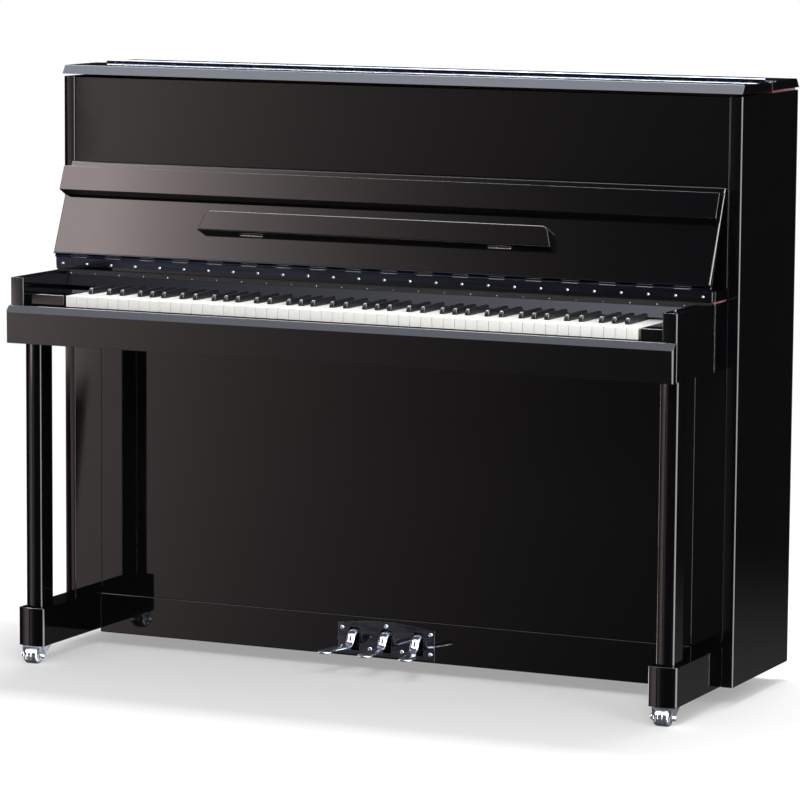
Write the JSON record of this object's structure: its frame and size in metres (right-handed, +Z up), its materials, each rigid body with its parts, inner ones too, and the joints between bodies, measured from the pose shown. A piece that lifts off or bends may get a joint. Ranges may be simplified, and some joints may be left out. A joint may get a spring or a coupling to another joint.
{
  "type": "upright piano",
  "caption": "Black gloss upright piano with a folding lid, an open fallboard with a folding lip and music shelf, pressable keys and pedals, and casters.",
  "frame": {"origin": "on the floor, under the middle of the whole piano's box", "axes": "+X to the player's right, +Y from the player to the back, +Z up"},
  "size_m": [1.48, 0.598, 1.2063],
  "materials": {
    "black_polyester": "high-gloss black polyester lacquer on board",
    "white_keys": "satin ivory-white",
    "black_keys": "satin black",
    "chrome_plate": "polished plate",
    "hinge_steel": "dark plated steel",
    "string_wire": "drawn wire",
    "bronzed_iron": "bronze paint",
    "beech": "planed, clear lacquer",
    "spruce": "clear lacquer",
    "hammer_felt": "pressed wool felt",
    "red_felt": "wool felt"
  },
  "bodies": {
    "case": {"left_side": "black_polyester", "right_side": "black_polyester", "left_arm": "black_polyester", "right_arm": "black_polyester", "keybed": "black_polyester", "key_slip": "black_polyester", "left_key_block": "black_polyester", "right_key_block": "black_polyester", "fallboard_rail": "black_polyester", "left_rail_felt": "red_felt", "right_rail_felt": "red_felt", "upper_panel": "black_polyester", "lower_panel": "black_polyester", "toe_rail": "black_polyester", "bottom_board": "beech", "rear_lid": "black_polyester", "left_leg": "black_polyester", "right_leg": "black_polyester", "left_toe_block": "black_polyester", "right_toe_block": "black_polyester", "back_frame": "beech", "soundboard": "spruce", "iron_frame": "bronzed_iron", "strings": "string_wire", "action_frame": "beech", "key_frame": "beech", "pedal_plate": "chrome_plate", "fallboard_hinge_fixed_leaf": "hinge_steel", "lid_hinge_fixed_leaf": "hinge_steel", "rear_left_caster_fork": "hinge_steel", "rear_right_caster_fork": "hinge_steel"},
    "lid": {"front_lid": "black_polyester", "lid_hinge_moving_leaf": "hinge_steel"},
    "fallboard": {"fallboard": "black_polyester", "fallboard_hinge_moving_leaf": "hinge_steel"},
    "lip": {"fallboard_lip": "black_polyester"},
    "music_shelf": {"music_shelf": "black_polyester"},
    "left_pedal": {"left_pedal": "chrome_plate"},
    "middle_pedal": {"middle_pedal": "chrome_plate"},
    "right_pedal": {"right_pedal": "chrome_plate"},
    "hammers": {"hammers": "hammer_felt"},
    "dampers": {"dampers": "hammer_felt"},
    "left_caster": {"left_caster_fork": "chrome_plate"},
    "left_caster_wheel": {"left_caster_wheel": "chrome_plate"},
    "right_caster": {"right_caster_fork": "chrome_plate"},
    "right_caster_wheel": {"right_caster_wheel": "chrome_plate"},
    "rear_left_wheel": {"rear_left_caster_wheel": "chrome_plate"},
    "rear_right_wheel": {"rear_right_caster_wheel": "chrome_plate"},
    "keys_a": {"keys_a": "white_keys"},
    "keys_a_sharp": {"keys_a_sharp": "black_keys"},
    "keys_b": {"keys_b": "white_keys"},
    "keys_c": {"keys_c": "white_keys"},
    "keys_c_sharp": {"keys_c_sharp": "black_keys"},
    "keys_d": {"keys_d": "white_keys"},
    "keys_d_sharp": {"keys_d_sharp": "black_keys"},
    "keys_e": {"keys_e": "white_keys"},
    "keys_f": {"keys_f": "white_keys"},
    "keys_f_sharp": {"keys_f_sharp": "black_keys"},
    "keys_g": {"keys_g": "white_keys"},
    "keys_g_sharp": {"keys_g_sharp": "black_keys"}
  },
  "joints": [
    {"name": "lid_fold", "type": "hinge", "parent": "case", "child": "lid", "pos_m": [0, 0.142, 1.2033], "axis": [-1, 0, 0], "range_deg": [0, 180]},
    {"name": "fallboard_close", "type": "hinge", "parent": "case", "child": "fallboard", "pos_m": [0, -0.0995, 0.818], "axis": [1, 0, 0], "range_deg": [0, 117.5]},
    {"name": "lip_unfold", "type": "hinge", "parent": "fallboard", "child": "lip", "pos_m": [0, -0.03921, 0.9916], "axis": [-1, 0, 0], "range_deg": [0, 94.6]},
    {"name": "shelf_open", "type": "hinge", "parent": "fallboard", "child": "music_shelf", "pos_m": [0, -0.09036, 0.87588], "axis": [-1, 0, 0], "range_deg": [-90, 0]},
    {"name": "left_pedal_press", "type": "hinge", "parent": "case", "child": "left_pedal", "pos_m": [0, 0.032, 0.078], "axis": [1, 0, 0], "range_deg": [0, 7], "stiffness_Nm_per_rad": 8, "springref_deg": -8.59},
    {"name": "middle_pedal_press", "type": "hinge", "parent": "case", "child": "middle_pedal", "pos_m": [0, 0.032, 0.078], "axis": [1, 0, 0], "range_deg": [0, 7], "stiffness_Nm_per_rad": 8, "springref_deg": -8.59},
    {"name": "right_pedal_press", "type": "hinge", "parent": "case", "child": "right_pedal", "pos_m": [0, 0.032, 0.078], "axis": [1, 0, 0], "range_deg": [0, 7], "stiffness_Nm_per_rad": 8, "springref_deg": -8.59},
    {"name": "press_keys_a", "type": "hinge", "parent": "case", "child": "keys_a", "pos_m": [0, -0.037, 0.733], "axis": [1, 0, 0], "range_deg": [0, 2.55], "stiffness_Nm_per_rad": 5, "springref_deg": -14.32},
    {"name": "press_keys_a_sharp", "type": "hinge", "parent": "case", "child": "keys_a_sharp", "pos_m": [0, -0.037, 0.733], "axis": [1, 0, 0], "range_deg": [0, 2.55], "stiffness_Nm_per_rad": 5, "springref_deg": -14.32},
    {"name": "press_keys_b", "type": "hinge", "parent": "case", "child": "keys_b", "pos_m": [0, -0.037, 0.733], "axis": [1, 0, 0], "range_deg": [0, 2.55], "stiffness_Nm_per_rad": 5, "springref_deg": -14.32},
    {"name": "press_keys_c", "type": "hinge", "parent": "case", "child": "keys_c", "pos_m": [0, -0.037, 0.733], "axis": [1, 0, 0], "range_deg": [0, 2.55], "stiffness_Nm_per_rad": 5, "springref_deg": -14.32},
    {"name": "press_keys_c_sharp", "type": "hinge", "parent": "case", "child": "keys_c_sharp", "pos_m": [0, -0.037, 0.733], "axis": [1, 0, 0], "range_deg": [0, 2.55], "stiffness_Nm_per_rad": 5, "springref_deg": -14.32},
    {"name": "press_keys_d", "type": "hinge", "parent": "case", "child": "keys_d", "pos_m": [0, -0.037, 0.733], "axis": [1, 0, 0], "range_deg": [0, 2.55], "stiffness_Nm_per_rad": 5, "springref_deg": -14.32},
    {"name": "press_keys_d_sharp", "type": "hinge", "parent": "case", "child": "keys_d_sharp", "pos_m": [0, -0.037, 0.733], "axis": [1, 0, 0], "range_deg": [0, 2.55], "stiffness_Nm_per_rad": 5, "springref_deg": -14.32},
    {"name": "press_keys_e", "type": "hinge", "parent": "case", "child": "keys_e", "pos_m": [0, -0.037, 0.733], "axis": [1, 0, 0], "range_deg": [0, 2.55], "stiffness_Nm_per_rad": 5, "springref_deg": -14.32},
    {"name": "press_keys_f", "type": "hinge", "parent": "case", "child": "keys_f", "pos_m": [0, -0.037, 0.733], "axis": [1, 0, 0], "range_deg": [0, 2.55], "stiffness_Nm_per_rad": 5, "springref_deg": -14.32},
    {"name": "press_keys_f_sharp", "type": "hinge", "parent": "case", "child": "keys_f_sharp", "pos_m": [0, -0.037, 0.733], "axis": [1, 0, 0], "range_deg": [0, 2.55], "stiffness_Nm_per_rad": 5, "springref_deg": -14.32},
    {"name": "press_keys_g", "type": "hinge", "parent": "case", "child": "keys_g", "pos_m": [0, -0.037, 0.733], "axis": [1, 0, 0], "range_deg": [0, 2.55], "stiffness_Nm_per_rad": 5, "springref_deg": -14.32},
    {"name": "press_keys_g_sharp", "type": "hinge", "parent": "case", "child": "keys_g_sharp", "pos_m": [0, -0.037, 0.733], "axis": [1, 0, 0], "range_deg": [0, 2.55], "stiffness_Nm_per_rad": 5, "springref_deg": -14.32},
    {"name": "hammers_swing", "type": "hinge", "parent": "case", "child": "hammers", "pos_m": [0, 0.07399, 0.86801], "axis": [-1, 0, 0], "range_deg": [0, 10.5]},
    {"name": "dampers_lift", "type": "hinge", "parent": "case", "child": "dampers", "pos_m": [0, 0.104, 0.84998], "axis": [1, 0, 0], "range_deg": [0, 7.5]},
    {"name": "left_caster_swivel", "type": "hinge", "parent": "case", "child": "left_caster", "pos_m": [-0.685, -0.23, 0.037], "axis": [0, 0, 1], "continuous": true},
    {"name": "left_caster_roll", "type": "hinge", "parent": "left_caster", "child": "left_caster_wheel", "pos_m": [-0.685, -0.245, 0.017], "axis": [1, 0, 0], "continuous": true},
    {"name": "rear_left_roll", "type": "hinge", "parent": "case", "child": "rear_left_wheel", "pos_m": [-0.604, 0.246, 0.022], "axis": [1, 0, 0], "continuous": true},
    {"name": "right_caster_swivel", "type": "hinge", "parent": "case", "child": "right_caster", "pos_m": [0.685, -0.23, 0.037], "axis": [0, 0, 1], "continuous": true},
    {"name": "right_caster_roll", "type": "hinge", "parent": "right_caster", "child": "right_caster_wheel", "pos_m": [0.685, -0.245, 0.017], "axis": [1, 0, 0], "continuous": true},
    {"name": "rear_right_roll", "type": "hinge", "parent": "case", "child": "rear_right_wheel", "pos_m": [0.604, 0.246, 0.022], "axis": [1, 0, 0], "continuous": true}
  ],
  "couplings": [
    {"joint": "lip_unfold", "follows": "fallboard_close", "ratio": 0.804},
    {"joint": "hammers_swing", "follows": "left_pedal_press", "ratio": 1.45},
    {"joint": "dampers_lift", "follows": "right_pedal_press", "ratio": 1.05}
  ]
}
